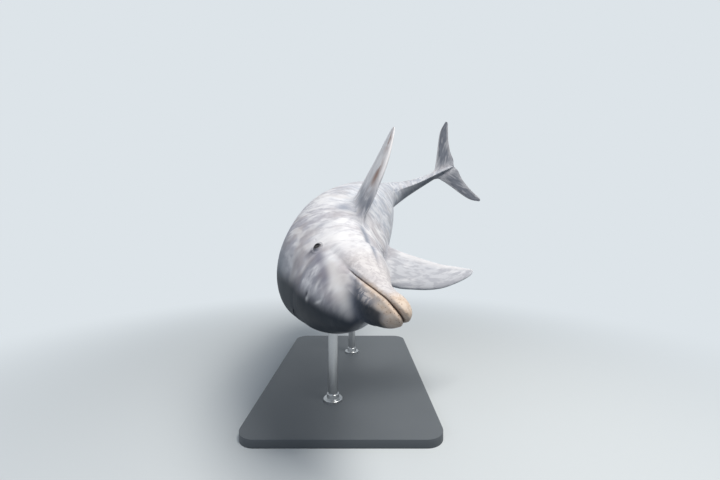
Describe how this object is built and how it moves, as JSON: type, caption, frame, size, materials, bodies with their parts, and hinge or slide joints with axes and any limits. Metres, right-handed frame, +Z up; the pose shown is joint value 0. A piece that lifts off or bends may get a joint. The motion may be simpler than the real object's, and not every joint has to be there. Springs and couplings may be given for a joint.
{
  "type": "bottlenose dolphin model",
  "caption": "Life-size still model of a bottlenose dolphin swimming curled to its belly side, rolled over, held by a flat base and short rods.",
  "frame": {"origin": "centre of the underside of the stand base", "axes": "+Z up, -Y towards the front, where the beak points; +X to the right seen from the front"},
  "size_m": [1.1563, 1.6564, 1.3668],
  "materials": {
    "skin": "smooth grey skin with a soft satin sheen",
    "skin_pale": "smooth pale skin of jaw, throat and belly",
    "skin_dark": "smooth darker grey skin of fins and flukes",
    "eye": "glossy dark brown",
    "base": "satin dark grey paint",
    "rods": "brushed"
  },
  "bodies": {
    "root": {"head": "skin", "lower_jaw": "skin_pale", "neck_throat": "skin", "chest": "skin", "abdomen": "skin", "loin": "skin", "tail_stock_front": "skin", "tail_stock_rear": "skin", "fluke_left": "skin_dark", "fluke_right": "skin_dark", "dorsal_fin": "skin_dark", "flipper_left": "skin_dark", "flipper_right": "skin_dark", "eye_left": "eye", "eye_right": "eye", "stand_base": "base", "stand_rod_front": "rods", "stand_rod_rear": "rods"}
  },
  "joints": []
}
